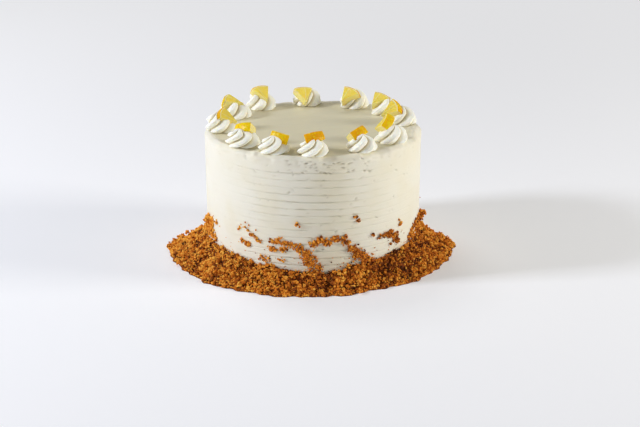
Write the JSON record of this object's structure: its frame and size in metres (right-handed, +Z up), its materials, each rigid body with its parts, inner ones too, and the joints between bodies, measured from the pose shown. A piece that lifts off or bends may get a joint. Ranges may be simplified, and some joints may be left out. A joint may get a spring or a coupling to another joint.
{
  "type": "layer cake",
  "caption": "Tall round frosted cake with combed sides, a ring of piped rosettes holding lemon wedges, and biscuit crumbs banked round its foot.",
  "frame": {"origin": "centre of the cake's flat underside", "axes": "+Z up through the cake's top, -Y towards the front, +X to the right seen from the front"},
  "size_m": [0.2991, 0.2663, 0.1553],
  "materials": {
    "frosting": "soft satin whipped frosting",
    "piped_cream": "soft satin piped cream",
    "lemon": "moist lemon flesh and dimpled peel",
    "biscuit_crumb": "dry matt biscuit crumbs"
  },
  "bodies": {
    "root": {"frosted_cake": "frosting", "crumb_bank": "biscuit_crumb", "rosette_01": "piped_cream", "rosette_02": "piped_cream", "rosette_03": "piped_cream", "rosette_04": "piped_cream", "rosette_05": "piped_cream", "rosette_06": "piped_cream", "rosette_07": "piped_cream", "rosette_08": "piped_cream", "rosette_09": "piped_cream", "rosette_10": "piped_cream", "rosette_11": "piped_cream", "rosette_12": "piped_cream", "lemon_wedge_01": "lemon", "lemon_wedge_02": "lemon", "lemon_wedge_03": "lemon", "lemon_wedge_04": "lemon", "lemon_wedge_05": "lemon", "lemon_wedge_06": "lemon", "lemon_wedge_07": "lemon", "lemon_wedge_08": "lemon", "lemon_wedge_09": "lemon", "lemon_wedge_10": "lemon", "lemon_wedge_11": "lemon", "lemon_wedge_12": "lemon"}
  },
  "joints": []
}
